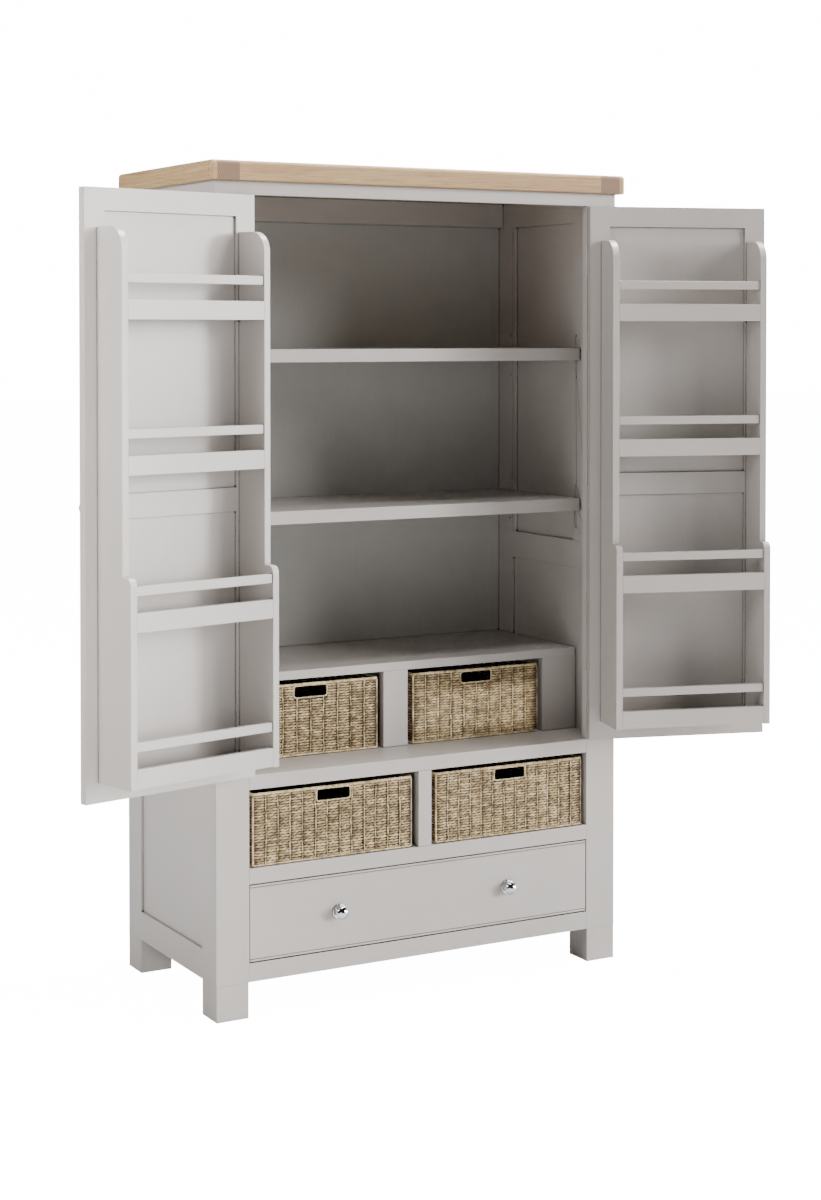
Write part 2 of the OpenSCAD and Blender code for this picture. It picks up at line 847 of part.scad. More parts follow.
// An open woven box with a finger slot under the front rim; its base centre front is the origin
module basket(w, d, h) {
  inner_r = basket_corner_r - weave_t / 2;
  color(SEAGRASS) difference() {
    translate([0, d / 2, 0]) linear_extrude(h) round_rect(w, d, basket_corner_r);
    translate([0, d / 2, weave_t]) linear_extrude(h)
      round_rect(w - 2 * weave_t, d - 2 * weave_t, inner_r);
    block([-slot_w / 2, -OVER, h - slot_rim - slot_h], [slot_w / 2, weave_t + OVER, h - slot_rim]);
  }
}

module upper_basket(side) {
  place() on_side(side) translate([upper_basket_x, upper_basket_y, z_deck + basket_clear])
    basket(upper_basket_w, upper_basket_d, upper_basket_h);
}

module lower_basket(side) {
  place() on_side(side) translate([lower_basket_x, lower_basket_y, z_basket + basket_clear])
    basket(lower_basket_w, lower_basket_d, lower_basket_h);
}

module basket_upper_left() { upper_basket(LEFT); }
module basket_upper_right() { upper_basket(RIGHT); }
module basket_lower_left() { lower_basket(LEFT); }
module basket_lower_right() { lower_basket(RIGHT); }

top_board();
top_end_left();
top_end_right();
leg_front_left();
leg_front_right();
leg_back_left();
leg_back_right();
side_frame_left();
side_frame_right();
side_panels_left();
side_panels_right();
shelf_pin_strips();
face_stile_left();
face_stile_right();
face_rail_top();
face_rail_deck();
face_rail_drawer();
face_rail_bottom();
basket_divider();
deck_board();
basket_floor();
bottom_board();
basket_guides();
back_panel();
back_top_rail();
unit_top();
unit_sides();
unit_divider();
shelf_upper();
shelf_lower();
shelf_pins();
frame_hinge_leaves();
hinge_pins();
door_magnets();
drawer_runners();
drawer_front();
drawer_sides();
drawer_back();
drawer_bottom();
drawer_knobs();
basket_upper_left();
basket_upper_right();
basket_lower_left();
basket_lower_right();
door_frame_left();
door_panels_left();
rack_sides_left();
rack_shelves_left();
rack_rails_left();
door_knob_left();
door_hinge_leaves_left();
strike_disc_left();
door_frame_right();
door_panels_right();
rack_sides_right();
rack_shelves_right();
rack_rails_right();
door_knob_right();
door_hinge_leaves_right();
strike_disc_right();
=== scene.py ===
import math

import bmesh
import bpy
import numpy as np
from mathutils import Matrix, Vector


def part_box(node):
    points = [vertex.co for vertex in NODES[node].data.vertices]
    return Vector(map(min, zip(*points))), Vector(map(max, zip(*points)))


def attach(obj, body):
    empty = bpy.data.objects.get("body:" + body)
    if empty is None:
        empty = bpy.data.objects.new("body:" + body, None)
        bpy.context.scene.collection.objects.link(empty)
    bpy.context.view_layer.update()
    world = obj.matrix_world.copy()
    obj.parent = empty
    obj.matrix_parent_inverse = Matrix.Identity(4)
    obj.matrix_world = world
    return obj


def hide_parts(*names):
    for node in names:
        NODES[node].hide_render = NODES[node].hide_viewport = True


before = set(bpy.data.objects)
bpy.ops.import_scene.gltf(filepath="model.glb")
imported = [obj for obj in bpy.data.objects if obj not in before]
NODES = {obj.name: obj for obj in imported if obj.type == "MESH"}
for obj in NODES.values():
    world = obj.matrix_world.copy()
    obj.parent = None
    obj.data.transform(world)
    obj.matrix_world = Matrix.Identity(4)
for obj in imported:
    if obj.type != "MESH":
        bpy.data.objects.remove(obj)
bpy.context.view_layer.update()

# The middle of the cabinet's width, and its front face. The frame's own origin is under the middle of the
# whole part, open doors included.
CAB_X = (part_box("face_stile_left")[0].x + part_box("face_stile_right")[1].x) / 2
CAB_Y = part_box("face_rail_bottom")[0].y
# The oak top's lowest and highest corners
TOP_LOW, TOP_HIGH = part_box("top_end_left")[0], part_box("top_end_right")[1]

# The angle between each open door's line and the X axis, in degrees
LEFT_DOOR_TURN = 13
RIGHT_DOOR_TURN = -16


# ---------- Node trees ----------

class Nodes:
    """A short way to write a node tree."""

    def __init__(self, tree):
        self.tree = tree

    def put(self, socket, value):
        if isinstance(value, bpy.types.NodeSocket):
            self.tree.links.new(value, socket)
        else:
            socket.default_value = value

    def node(self, kind, inputs=None, **settings):
        n = self.tree.nodes.new("ShaderNode" + kind)
        for key, value in settings.items():
            setattr(n, key, value)
        for key, value in (inputs or {}).items():
            self.put(n.inputs[key], value)
        return n

    def math(self, operation, a, b=0.0, c=0.0):
        return self.node("Math", {0: a, 1: b, 2: c}, operation=operation).outputs[0]

    def span(self, value, low, high, out_low=0.0, out_high=1.0):
        """value from low..high to out_low..out_high, with soft ends."""
        return self.node("MapRange", {"Value": value, "From Min": low, "From Max": high, "To Min": out_low,
                                      "To Max": out_high}, interpolation_type="SMOOTHSTEP").outputs["Result"]

    def to_camera(self, lit, seen):
        """A shader that is seen to the camera, and lit to everything else."""
        ray = self.node("LightPath").outputs["Is Camera Ray"]
        return self.node("MixShader", {0: ray, 1: lit.outputs[0], 2: seen.outputs[0]}).outputs[0]


# ---------- Camera, floor and light ----------

# Where the camera stands: to the left of the cabinet's middle, in front of its face, and above the floor
EYE_LEFT = 2.49129
EYE_FRONT = 4.38837
EYE_HEIGHT = 1.52524
# Which way it looks, in degrees, and its lens, in millimetres. The shift frames the cabinet as the photograph
# does, above a strip of empty floor.
LOOK_DOWN = 1.27
LOOK_RIGHT = 29.2
LENS = 65.675
SENSOR = 36.0
SHIFT_UP = -0.18353

FLOOR_REACH = 40.0
FLOOR_GREY = 0.85
FLOOR_WHITE = 15.0


def add_camera():
    """The camera at the photograph's angle: at eye height, well to the left of the cabinet."""
    cam = bpy.data.cameras.new("camera")
    cam.sensor_width = SENSOR
    cam.lens = LENS
    cam.shift_y = SHIFT_UP
    cam.clip_start = 0.1
    cam.clip_end = 100.0
    obj = bpy.data.objects.new("camera", cam)
    obj.location = (CAB_X - EYE_LEFT, CAB_Y - EYE_FRONT, EYE_HEIGHT)
    obj.rotation_euler = (math.radians(90 - LOOK_DOWN), 0, math.radians(-LOOK_RIGHT))
    bpy.context.scene.collection.objects.link(obj)
    bpy.context.scene.camera = obj


def add_floor():
    """A plain pale floor. To the eye it is as white as the background, with the shadows left faint on it."""
    mesh = bpy.data.meshes.new("floor")
    r = FLOOR_REACH
    mesh.from_pydata([(-r, -r, 0), (r, -r, 0), (r, r, 0), (-r, r, 0)], [], [(0, 1, 2, 3)])
    floor = bpy.data.objects.new("floor", mesh)
    bpy.context.scene.collection.objects.link(floor)
    mat = bpy.data.materials.new("floor")
    mat.use_nodes = True
    nodes = Nodes(mat.node_tree)
    paint = mat.node_tree.nodes["Principled BSDF"]
    paint.inputs["Base Color"].default_value = (FLOOR_GREY, FLOOR_GREY, FLOOR_GREY, 1)
    paint.inputs["Roughness"].default_value = 0.9
    glow = nodes.node("Emission", {"Strength": FLOOR_WHITE})
    seen = nodes.node("AddShader", {0: paint.outputs[0], 1: glow.outputs[0]})
    nodes.put(mat.node_tree.nodes["Material Output"].inputs["Surface"], nodes.to_camera(paint, seen))
    mesh.materials.append(mat)


def add_area(name, location, target, size, power, spread=180):
    """A soft box that shines from location towards target. A spread below 180 degrees is a grid on it."""
    light = bpy.data.lights.new(name, "AREA")
    light.shape = "RECTANGLE"
    light.size, light.size_y = size
    light.energy = power
    light.spread = math.radians(spread)
    obj = bpy.data.objects.new(name, light)
    obj.location = location
    obj.rotation_euler = (Vector(target) - Vector(location)).to_track_quat("-Z", "Y").to_euler()
    bpy.context.scene.collection.objects.link(obj)


# The studio as seen from the cabinet. Each window of light has its azimuth from and to, its elevation from
# and to, all in degrees, and its strength. Azimuth 0 is straight in front, +90 to the cabinet's right.
WINDOWS = [
    (-45, -20, 0, 10, 2.0),
    (50, 60, 0, 12, 80.0),
    (60, 95, 0, 12, 12.0),
    (35, 55, 12, 30, 24.0),
    (130, 190, 10, 60, 0.8),
    (-190, -130, 10, 60, 0.8),
]
# How wide a window's soft edge is, in degrees, how bright the room is between the windows, and how bright the
# background looks to the camera
WINDOW_SOFT = 4
ROOM_GLOW = 0.03
SEEN_WHITE = 16.0
WHITE = (1, 1, 1, 1)

# The soft boxes, each 1 m square and aimed at the middle of the part: azimuth, distance, height and watts
SOFT_BOXES = {
    "left_box": (-80, 2.5, 2.0, 62),
    "front_top_box": (0, 1.5, 6.0, 90),
    "side_top_box": (90, 1.5, 5.0, 430),
}
SOFT_BOX_SIZE = (1.0, 1.0)
AIM_HEIGHT = 1.0


def add_world():
    """White to the eye all round, and as a light a dark studio with a few soft windows of light."""
    world = bpy.data.worlds.new("studio")
    world.use_nodes = True
    world.node_tree.nodes.clear()
    nodes = Nodes(world.node_tree)

    def past(angle, limit):
        return nodes.span(angle, math.radians(limit - WINDOW_SOFT / 2), math.radians(limit + WINDOW_SOFT / 2))

    def between(angle, low, high):
        return nodes.math("MULTIPLY", past(angle, low), nodes.math("SUBTRACT", 1.0, past(angle, high)))

    way = nodes.node("SeparateXYZ", {0: nodes.node("TexCoord").outputs["Generated"]}).outputs
    azimuth = nodes.math("ARCTAN2", way["X"], nodes.math("MULTIPLY", way["Y"], -1.0))
    elevation = nodes.math("ARCSINE", way["Z"])
    total = ROOM_GLOW
    for az_low, az_high, el_low, el_high, strength in WINDOWS:
        lit = nodes.math("MULTIPLY", between(azimuth, az_low, az_high), between(elevation, el_low, el_high))
        total = nodes.math("ADD", total, nodes.math("MULTIPLY", lit, strength))
    light = nodes.node("Background", {"Color": WHITE, "Strength": total})
    seen = nodes.node("Background", {"Color": WHITE, "Strength": SEEN_WHITE})
    nodes.node("OutputWorld", {"Surface": nodes.to_camera(light, seen)})
    bpy.context.scene.world = world


def around(azimuth, distance, height):
    """A point round the middle of the part, with azimuth as in WINDOWS."""
    a = math.radians(azimuth)
    return Vector((distance * math.sin(a), -distance * math.cos(a), height))


def add_lights():
    add_world()
    aim = Vector((0, 0, AIM_HEIGHT))
    for name, (azimuth, distance, height, watts) in SOFT_BOXES.items():
        add_area(name, around(azimuth, distance, height), aim, SOFT_BOX_SIZE, watts)
    # a gridded strip box fills the shade beside the left door's rack
    door = Vector((CAB_X - 0.88, CAB_Y - 0.10, 1.15))
    add_area("door_strip", door + Vector((-0.12, -1.25, 0.05)), door, size=(0.25, 1.5), power=3.0, spread=45)
    # and a narrow beam the size of the upper right basket reaches it in the side's shade. It is level, and
    # aimed just below the basket's middle, so that nothing of it goes over the top of the inner unit.
    low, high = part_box("basket_upper_right")
    basket = Vector(((low.x + high.x) / 2, low.y, (low.z + high.z) / 2 - 0.015))
    beam = (0.85 * (high.x - low.x), 0.55 * (high.z - low.z))
    add_area("basket_beam", basket + Vector((0.22, -1.6, 0)), basket, size=beam, power=0.14, spread=3)


# ---------- Materials ----------

# How much finer each pattern is across the grain than along it, for boards that run along X, Y or Z
ALONG = {"x": (1, 28, 28), "y": (28, 1, 28), "z": (28, 28, 1)}

# The paint's three close shades, and the painted shade in its creases, with how far from a corner that
# reaches
PAINT_DARK = (0.394, 0.362, 0.337)
PAINT_MID = (0.411, 0.380, 0.356)
PAINT_LIGHT = (0.428, 0.398, 0.374)
PAINTED_CREASE_SHADE = (0.030, 0.026, 0.023)
CREASE_SHADE_REACH = 0.0060

OAK_PALE = (0.425, 0.284, 0.136)
OAK_LATE = (0.262, 0.152, 0.068)
OAK_ROSE = (0.385, 0.228, 0.124)
OAK_STRAW = (0.470, 0.345, 0.168)
OAK_END_PALE = (0.262, 0.166, 0.102)
OAK_END_DARK = (0.112, 0.062, 0.036)
# How far the plain end of an end board reaches before its cut end grain shows
END_SAP = 0.019


class Maker(Nodes):
    """A short way to write a material's nodes."""

    def __init__(self, name, color, roughness, metallic=0.0):
        self.mat = bpy.data.materials.new(name)
        self.mat.use_nodes = True
        super().__init__(self.mat.node_tree)
        self.bsdf = self.tree.nodes["Principled BSDF"]
        self.bsdf.inputs["Base Color"].default_value = (*color, 1)
        self.bsdf.inputs["Roughness"].default_value = roughness
        self.bsdf.inputs["Metallic"].default_value = metallic
        self.object_coords = self.node("TexCoord").outputs["Object"]

    def mapped(self, scale, turn=0.0, shift=(0, 0, 0), vector=None):
        """The object's coordinates in metres, turned about Z, moved, then scaled."""
        turned = self.node("Mapping", {"Vector": vector or self.object_coords,
                                       "Rotation": (0, 0, math.radians(turn)), "Location": shift})
        return self.node("Mapping", {"Vector": turned.outputs[0], "Scale": scale}).outputs[0]

    def noise(self, vector, scale=1.0, detail=2.0, roughness=0.5, distortion=0.0):
        return self.node("TexNoise", {"Vector": vector, "Scale": scale, "Detail": detail,
                                      "Roughness": roughness, "Distortion": distortion}).outputs["Fac"]

    def ramp(self, value, stops):
        """Colours or greys over a value. stops are (position, colour)."""
        n = self.node("ValToRGB", {"Fac": value})
        elements = n.color_ramp.elements
        while len(elements) < len(stops):
            elements.new(0.5)
        for element, (position, color) in zip(elements, stops):
            element.position = position
            element.color = (*color, 1) if isinstance(color, tuple) else (color, color, color, 1)
        return n.outputs["Color"]

    def mix(self, factor, a, b, blend="MIX"):
        n = self.node("Mix", data_type="RGBA", blend_type=blend)
        self.put(n.inputs["Factor"], factor)
        for socket, value in ((n.inputs[6], a), (n.inputs[7], b)):
            self.put(socket, (*value, 1) if isinstance(value, tuple) else value)
        return n.outputs[2]

    def bump(self, height, distance, strength=1.0, below=None):
        inputs = {"Height": height, "Distance": distance, "Strength": strength}
        if below is not None:
            inputs["Normal"] = below
        return self.node("Bump", inputs).outputs["Normal"]

    def finish(self, color=None, roughness=None, normal=None):
        for name, value in (("Base Color", color), ("Roughness", roughness), ("Normal", normal)):
            if value is not None:
                self.put(self.bsdf.inputs[name], value)
        return self.mat


def painted(name, grain, turn=0, tint=(1.0, 1.0, 1.0)):
    """Satin warm grey paint over wood: faint brush lines and grain along the board, a fine peel, and painted
    shade in its creases.
    """
    # a tint makes a copy of the paint with another cast: the back panel's cooler copy is painted shade
    dark, middle, light = (tuple(c * t for c, t in zip(shade, tint))
                           for shade in (PAINT_DARK, PAINT_MID, PAINT_LIGHT))
    m = Maker(name, PAINT_MID, 0.38)
    brush = m.noise(m.mapped(ALONG[grain], turn), scale=9.0, detail=5.0, roughness=0.6)
    pores = m.noise(m.mapped(ALONG[grain], turn, (0.3, 0.1, 0.7)), scale=34.0, detail=3.0, roughness=0.55)
    peel = m.noise(m.object_coords, scale=750.0, detail=2.0)
    cloud = m.noise(m.object_coords, scale=3.5, detail=3.0)
    tone = m.math("MULTIPLY_ADD", brush, 0.35, m.math("MULTIPLY", cloud, 0.65))
    color = m.ramp(tone, [(0.34, dark), (0.5, middle), (0.66, light)])
    # painted shade: ambient occlusion darkens the colour in a hairline at joints and the corners of recesses
    corner = m.node("AmbientOcclusion", {"Distance": CREASE_SHADE_REACH}, samples=4).outputs["AO"]
    color = m.mix(m.span(corner, 0.55, 0.78, 1.0, 0.0), color, PAINTED_CREASE_SHADE)
    rough = m.span(m.math("MULTIPLY_ADD", peel, 0.3, m.math("MULTIPLY", brush, 0.7)), 0.3, 0.7, 0.33, 0.44)
    height = m.math("ADD", m.math("MULTIPLY", brush, 0.6), m.math("MULTIPLY", pores, 0.4))
    normal = m.bump(height, 0.00022, 0.6)
    normal = m.bump(peel, 0.00006, 0.5, normal)
    return m.finish(color, rough, normal)


def oak(name, axis, pith, ring=0.0042, stave=0.0, cut_ends=False):
    """Light oiled oak. Year rings lie round a pith line along the board's axis, so that a long face shows
    streaks and an end face arcs. With cut_ends, faces cut across the grain look as end grain does."""
    m = Maker(name, OAK_PALE, 0.5)
    vector = m.object_coords
    if stave:
        split = m.node("SeparateXYZ", {0: vector})
        index = m.math("FLOOR", m.math("DIVIDE", split.outputs["Y"], stave))
        random = m.node("TexWhiteNoise", {"W": index}, noise_dimensions="1D")
        jump = m.node("VectorMath", {0: random.outputs["Color"], 1: (0.9, 0.16, 0.03)}, operation="MULTIPLY")
        vector = m.node("VectorMath", {0: vector, 1: jump.outputs[0]}, operation="ADD").outputs[0]
    slow = {"x": (0.10, 1, 1), "y": (1, 0.10, 1), "z": (1, 1, 0.10)}[axis]
    base = m.mapped(slow, 0, pith, vector)
    warp = m.node("TexNoise", {"Vector": base, "Scale": 18.0, "Detail": 3.0})
    shove = m.node("VectorMath", {0: warp.outputs["Color"], 1: (0.5, 0.5, 0.5)}, operation="SUBTRACT")
    shove = m.node("VectorMath", {0: shove.outputs[0], "Scale": 0.014}, operation="SCALE")
    bent = m.node("VectorMath", {0: base, 1: shove.outputs[0]}, operation="ADD").outputs[0]
    rings = m.node("TexWave", {"Vector": bent, "Scale": math.pi / 10 / ring, "Distortion": 0.5, "Detail": 2.0,
                               "Detail Scale": 3.0}, wave_type="RINGS", rings_direction=axis.upper(),
                   wave_profile="SAW").outputs["Fac"]
    fibre = m.noise(m.mapped(ALONG[axis], 0, (0.2, 0.5, 0.1), vector), scale=24.0, detail=6.0, roughness=0.68)
    streak = m.noise(m.mapped(ALONG[axis], 0, (0.7, 0.2, 0.4), vector), scale=4.2, detail=3.0)
    flush = m.noise(m.mapped(ALONG[axis], 0, (0.4, 0.3, 0.9), vector), scale=1.7, detail=2.0)
    figure = m.noise(m.mapped(ALONG[axis], 0, (0.9, 0.6, 0.2), vector), scale=8.0, detail=3.0, roughness=0.6)
    late = m.math("MULTIPLY", m.span(rings, 0.35, 0.98), 0.34)
    dark = m.math("ADD", late, m.span(fibre, 0.46, 0.72, 0.0, 0.72))
    dark = m.math("ADD", dark, m.span(figure, 0.50, 0.68, 0.0, 0.45))
    color = m.mix(m.span(flush, 0.44, 0.66, 0.0, 0.75), OAK_PALE, OAK_ROSE)
    color = m.mix(m.span(streak, 0.52, 0.70, 0.0, 0.8), color, OAK_STRAW)
    color = m.mix(dark, color, OAK_LATE)
    height = m.math("ADD", m.math("MULTIPLY", fibre, 0.7), m.math("MULTIPLY", rings, 0.3))
    if cut_ends:
        facing = m.node("TexCoord").outputs["Normal"]
        across = m.math("ABSOLUTE", m.node("SeparateXYZ", {0: facing}).outputs["Y"])
        x = m.node("SeparateXYZ", {0: m.object_coords}).outputs["X"]
        off = m.math("ABSOLUTE", m.math("SUBTRACT", x, (TOP_LOW.x + TOP_HIGH.x) / 2))
        inner = (TOP_HIGH.x - TOP_LOW.x) / 2 - END_SAP
        end = m.math("MULTIPLY", m.span(across, 0.55, 0.85), m.span(off, inner, inner + 0.0016, 1.0, 0.0))
        cells = m.node("TexVoronoi", {"Vector": m.object_coords, "Scale": 900.0}).outputs["Distance"]
        rays = m.noise(m.mapped((90.0, 90.0, 900.0)), scale=1.0, detail=2.0)
        cut = m.math("ADD", m.span(rings, 0.15, 0.95, 0.0, 0.95), m.span(cells, 0.5, 0.1, 0.0, 0.25))
        cut = m.math("SUBTRACT", cut, m.span(rays, 0.55, 0.75, 0.0, 0.35))
        color = m.mix(end, color, m.mix(cut, OAK_END_PALE, OAK_END_DARK))
        # beside the corner, the round of the edge shows the same rings as a short hatched band
        band = m.math("MULTIPLY", m.span(across, 0.16, 0.30), m.span(across, 0.62, 0.50))
        color = m.mix(m.math("MULTIPLY", band, m.span(rings, 0.3, 0.9, 0.1, 0.75)), color, OAK_END_DARK)
    m.bsdf.inputs["Specular IOR Level"].default_value = 0.25
    rough = m.span(fibre, 0.3, 0.7, 0.46, 0.62)
    return m.finish(color, rough, m.bump(height, 0.0004, 0.5))


def chrome():
    """Polished chrome with the faintest haze."""
    m = Maker("chrome", (0.64, 0.64, 0.65), 0.06, 1.0)
    haze = m.noise(m.object_coords, scale=60.0, detail=4.0)
    wipe = m.noise(m.mapped((1, 1, 12)), scale=90.0, detail=3.0)
    tint = m.mix(haze, (0.60, 0.60, 0.62), (0.68, 0.68, 0.68))
    return m.finish(tint, m.span(haze, 0.35, 0.7, 0.04, 0.10), m.bump(wipe, 0.00002, 0.25))


def steel():
    """Bright zinc-plated steel with fine drawn lines."""
    m = Maker("steel", (0.56, 0.57, 0.58), 0.35, 1.0)
    lines = m.noise(m.mapped((1, 1, 0.1)), scale=1500.0, detail=2.0)
    haze = m.noise(m.object_coords, scale=120.0, detail=3.0)
    color = m.mix(haze, (0.50, 0.51, 0.52), (0.62, 0.62, 0.63))
    return m.finish(color, m.span(lines, 0.3, 0.7, 0.28, 0.45), m.bump(lines, 0.00003, 0.4))


def seagrass(name, stops, rose, olive):
    """Twisted grass cord: its colour comes from each point's tone, which is the cord's own tone less painted
    shade in its hollows and where it faces its neighbours. It has fine fibres and a dry sheen.
    """
    m = Maker(name, stops[1][1], 0.7)
    tone = m.node("Attribute", attribute_name="tone").outputs["Fac"]
    uv = m.node("UVMap", uv_map="Fibre").outputs[0]
    lay = m.node("Mapping", {"Vector": uv, "Scale": (70.0, 26.0, 1.0)}).outputs[0]
    lay = m.node("VectorMath", {0: lay, 1: m.mapped((9.0, 9.0, 60.0))}, operation="ADD").outputs[0]
    fibre = m.noise(lay, scale=1.0, detail=4.0, roughness=0.7)
    patch = m.noise(m.mapped((14.0, 14.0, 45.0)), scale=1.0, detail=3.0)
    speck = m.noise(m.object_coords, scale=330.0, detail=2.0)
    value = m.math("ADD", tone, m.span(fibre, 0.25, 0.75, -0.14, 0.14))
    value = m.math("ADD", value, m.span(speck, 0.3, 0.7, -0.12, 0.12))
    color = m.ramp(value, stops)
    color = m.mix(m.span(patch, 0.54, 0.72, 0.0, 0.5), color, rose, "SOFT_LIGHT")
    color = m.mix(m.span(patch, 0.46, 0.28, 0.0, 0.5), color, olive, "SOFT_LIGHT")
    m.bsdf.inputs["Sheen Weight"].default_value = 0.12
    m.bsdf.inputs["Sheen Roughness"].default_value = 0.6
    return m.finish(color, m.span(fibre, 0.2, 0.8, 0.60, 0.82), m.bump(fibre, 0.0006, 0.8))


def basket_shade_sheet():
    """A near-black sheet behind the rows: its colour is painted shade, the deep shade between the rows."""
    m = Maker("basket_shade_sheet", (0.035, 0.022, 0.013), 0.9)
    fibre = m.noise(m.mapped((1, 1, 6)), scale=90.0, detail=3.0)
    color = m.mix(fibre, (0.021, 0.013, 0.007), (0.059, 0.038, 0.022))
    return m.finish(color, None, m.bump(fibre, 0.0005, 0.8))


def dress(obj, mat):
    obj.data.materials.clear()
    obj.data.materials.append(mat)


# ---------- Woven baskets ----------

# The rows of twisted cord: how far apart they are, their radius, and how long one turn of the twist is
ROW_PITCH = 0.0062
ROW_R = 0.0030
ROW_TWIST = 0.027
# The radii of the other cords: upright on the walls, upright at the corners, rim, foot, and slot's edge
STAKE_R = 0.00145
CORNER_STAKE_R = 0.0026
RIM_R = 0.0034
BORDER_R = 0.0024
SLOT_CORD_R = 0.0019
# How far in from the basket's outer faces the rows and the upright cords run
ROW_INSET = 0.0036
STAKE_INSET = 0.0020
# How far above the basket's foot the rows start, and how far below its top they end
ROWS_LOW = 0.0048
ROWS_TOP = 0.0075
# The dark sheet behind the rows, its colour painted shade: how far in from the outer faces it is, how thick,
# and its gap round the slot
SHADE_SHEET_INSET = 0.0040
SHADE_SHEET_THICK = 0.0008
SHADE_SHEET_GAP = 0.0005
# The finger slot's width and height, and how far below the rim it starts
SLOT_W, SLOT_H, SLOT_TOP = 0.084, 0.026, 0.008
CORNER_R = 0.010
UP = (0.0, 0.0, 1.0)
# Sections of a two-ply and a three-ply cord, as distances from the middle at even steps, starting in a hollow
TWO_PLY = np.array([0.60, 0.93, 1.04, 0.93, 0.60, 0.93, 1.04, 0.93])
THREE_PLY = np.array([0.72, 0.96, 1.06, 0.96] * 3)


def wander(s, period, rng):
    """Smooth random values from -1 to 1 along s, which is a distance in metres that may run in a loop."""
    span = s[-1] - s[0]
    n = max(int(span / period), 2)
    knots = rng.uniform(-1, 1, n + 1)
    knots[-1] = knots[0]
    t = (s - s[0]) / span * n
    i = np.minimum(t.astype(int), n - 1)
    f = t - i
    f = f * f * (3 - 2 * f)
    return knots[i] * (1 - f) + knots[i + 1] * f


class Strands:
    """Gathers swept tubes, and makes them one mesh with fibre UVs and a tone for each point."""

    def __init__(self):
        self.points, self.faces, self.uvs, self.tones = [], [], [], []
        self.count = 0

    def add(self, centre, out, up, radius, tone, section=TWO_PLY, twist=ROW_TWIST, closed=False, phase=0.0,
            groove_shade=0.17, shade=0.34):
        """A twisted cord along centre. out and up span its section, which turns once in each twist, and like
        the radius they are one for the whole cord or one for each point. Its tone is darkened with painted
        shade in its hollows, by groove_shade, and where it faces its neighbours, not outwards, by shade."""
        n, sides = len(centre), len(section)
        out, up = np.broadcast_to(out, (n, 3)), np.broadcast_to(up, (n, 3))
        radius = np.broadcast_to(radius, n)
        step = np.linalg.norm(np.diff(centre, axis=0), axis=1)
        along = np.concatenate([[0], np.cumsum(step)])
        if closed:
            twist = (along[-1] + step[-1]) / round((along[-1] + step[-1]) / twist)
        turn = along / twist * 2 * math.pi + phase
        angle = (np.arange(sides) * 2 * math.pi / sides)[None, :] + turn[:, None]
        r = radius[:, None] * section[None, :]
        ring = (centre[:, None, :]
                + (r * np.cos(angle))[..., None] * out[:, None, :]
                + (r * np.sin(angle))[..., None] * up[:, None, :])
        self.points.append(ring.reshape(-1, 3))
        hollow = (section.max() - section) / (section.max() - section.min() + 1e-9)
        # painted shade: the tone is darkened in the twist's hollows and on the sides that face the
        # neighbouring cords
        self.tones.append((tone[:, None] - groove_shade * hollow[None, :] - shade * np.sin(angle) ** 2).ravel())
        rows = n if closed else n - 1
        i = np.arange(rows)[:, None]
        j = np.arange(sides)[None, :]
        i2, j2 = (i + 1) % n, (j + 1) % sides
        quads = np.stack([i * sides + j, i * sides + j2, i2 * sides + j2, i2 * sides + j], axis=-1)
        self.faces.append((quads.reshape(-1, 4) + self.count, None))
        along_end = np.append(along, along[-1] + step.mean())
        u0, u1 = along_end[:rows, None], along_end[1:rows + 1, None]
        v0, v1 = j / sides, (j + 1) / sides
        z = np.zeros((rows, sides))
        uv = np.stack([np.stack([u0 + z, v0 + z], -1), np.stack([u0 + z, v1 + z], -1),
                       np.stack([u1 + z, v1 + z], -1), np.stack([u1 + z, v0 + z], -1)], axis=2)
        self.uvs.append(uv.reshape(-1, 2))
        if not closed:
            for k, order in ((0, 1), (n - 1, -1)):
                cap = (np.arange(sides) + k * sides)[::-order] + self.count
                self.faces.append((None, cap))
                self.uvs.append(np.tile([[along[k], 0.0]], (sides, 1)))
        self.count += n * sides

    def mesh(self, name):
        """One mesh of all the cords added so far."""
        points = np.concatenate(self.points)
        tones = np.concatenate(self.tones)
        loops, totals = [], []
        for quads, cap in self.faces:
            if quads is not None:
                loops.append(quads.reshape(-1))
                totals.append(np.full(len(quads), 4))
            else:
                loops.append(cap)
                totals.append(np.array([len(cap)]))
        loops, totals = np.concatenate(loops), np.concatenate(totals)
        starts = np.concatenate([[0], np.cumsum(totals)[:-1]])
        me = bpy.data.meshes.new(name)
        me.vertices.add(len(points))
        me.vertices.foreach_set("co", points.astype(np.float32).ravel())
        me.loops.add(len(loops))
        me.loops.foreach_set("vertex_index", loops.astype(np.int32))
        me.polygons.add(len(totals))
        me.polygons.foreach_set("loop_start", starts.astype(np.int32))
        me.update(calc_edges=True)
        me.polygons.foreach_set("use_smooth", np.ones(len(totals), bool))
        layer = me.uv_layers.new(name="Fibre")
        layer.data.foreach_set("uv", np.concatenate(self.uvs).astype(np.float32).ravel())
        tone = me.color_attributes.new("tone", "FLOAT_COLOR", "POINT")
        rgba = np.ones((len(points), 4), np.float32)
        rgba[:, :3] = tones[:, None]
        tone.data.foreach_set("color", rgba.ravel())
        me.validate()
        return me


def vectors(*columns):
    """Rows made of columns, such as x, y and z, each of which is one number or an array."""
    return np.stack(np.broadcast_arrays(*columns), 1)


